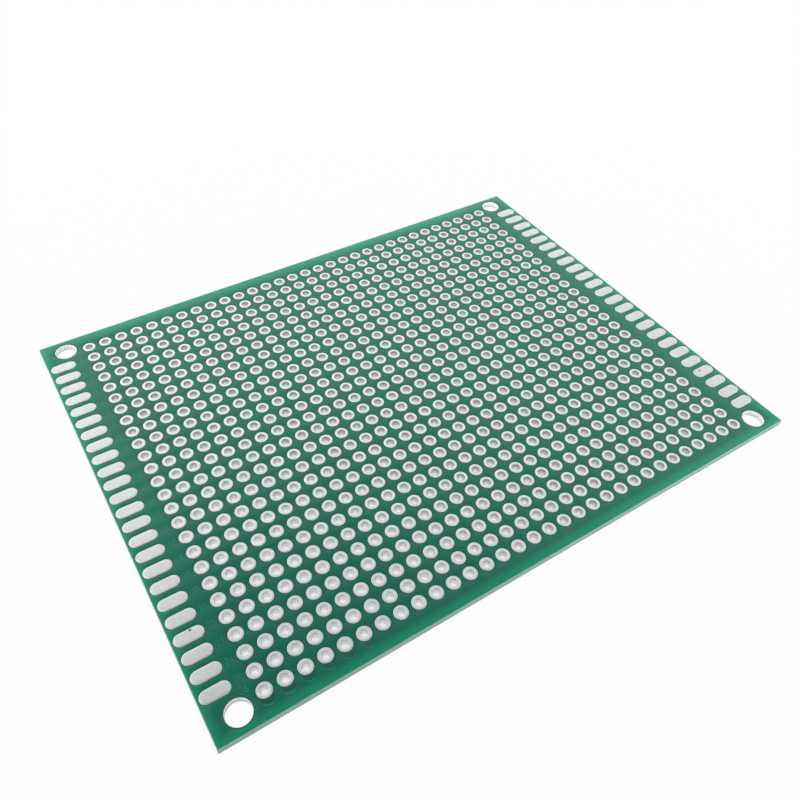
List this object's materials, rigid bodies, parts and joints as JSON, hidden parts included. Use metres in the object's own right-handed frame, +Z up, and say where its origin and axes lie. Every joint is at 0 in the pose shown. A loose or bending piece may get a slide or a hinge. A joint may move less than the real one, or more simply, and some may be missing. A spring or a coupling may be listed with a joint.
{
  "type": "bare circuit board",
  "caption": "Bare double-sided prototyping board: green masked glass-epoxy sheet with a grid of tinned plated lead holes, long edge pads at both ends and a mounting hole in each corner.",
  "frame": {"origin": "the middle of the board's outline, in the plane of the lower faces of its lower pads", "axes": "+X along the long side, +Y along the short side towards the first row of lead holes, +Z up through the board"},
  "size_m": [0.09, 0.07, 0.0011],
  "materials": {
    "glass_epoxy": "matte",
    "solder_mask": "gloss",
    "tinned_copper": "satin"
  },
  "bodies": {
    "root": {"substrate": "glass_epoxy", "solder_mask_top": "solder_mask", "solder_mask_bottom": "solder_mask", "edge_pads_top_left": "tinned_copper", "edge_pads_top_right": "tinned_copper", "edge_pads_bottom_left": "tinned_copper", "edge_pads_bottom_right": "tinned_copper", "plated_holes_row_01": "tinned_copper", "plated_holes_row_02": "tinned_copper", "plated_holes_row_03": "tinned_copper", "plated_holes_row_04": "tinned_copper", "plated_holes_row_05": "tinned_copper", "plated_holes_row_06": "tinned_copper", "plated_holes_row_07": "tinned_copper", "plated_holes_row_08": "tinned_copper", "plated_holes_row_09": "tinned_copper", "plated_holes_row_10": "tinned_copper", "plated_holes_row_11": "tinned_copper", "plated_holes_row_12": "tinned_copper", "plated_holes_row_13": "tinned_copper", "plated_holes_row_14": "tinned_copper", "plated_holes_row_15": "tinned_copper", "plated_holes_row_16": "tinned_copper", "plated_holes_row_17": "tinned_copper", "plated_holes_row_18": "tinned_copper", "plated_holes_row_19": "tinned_copper", "plated_holes_row_20": "tinned_copper", "plated_holes_row_21": "tinned_copper", "plated_holes_row_22": "tinned_copper", "plated_holes_row_23": "tinned_copper", "plated_holes_row_24": "tinned_copper", "plated_holes_row_25": "tinned_copper", "plated_holes_row_26": "tinned_copper"}
  },
  "joints": []
}
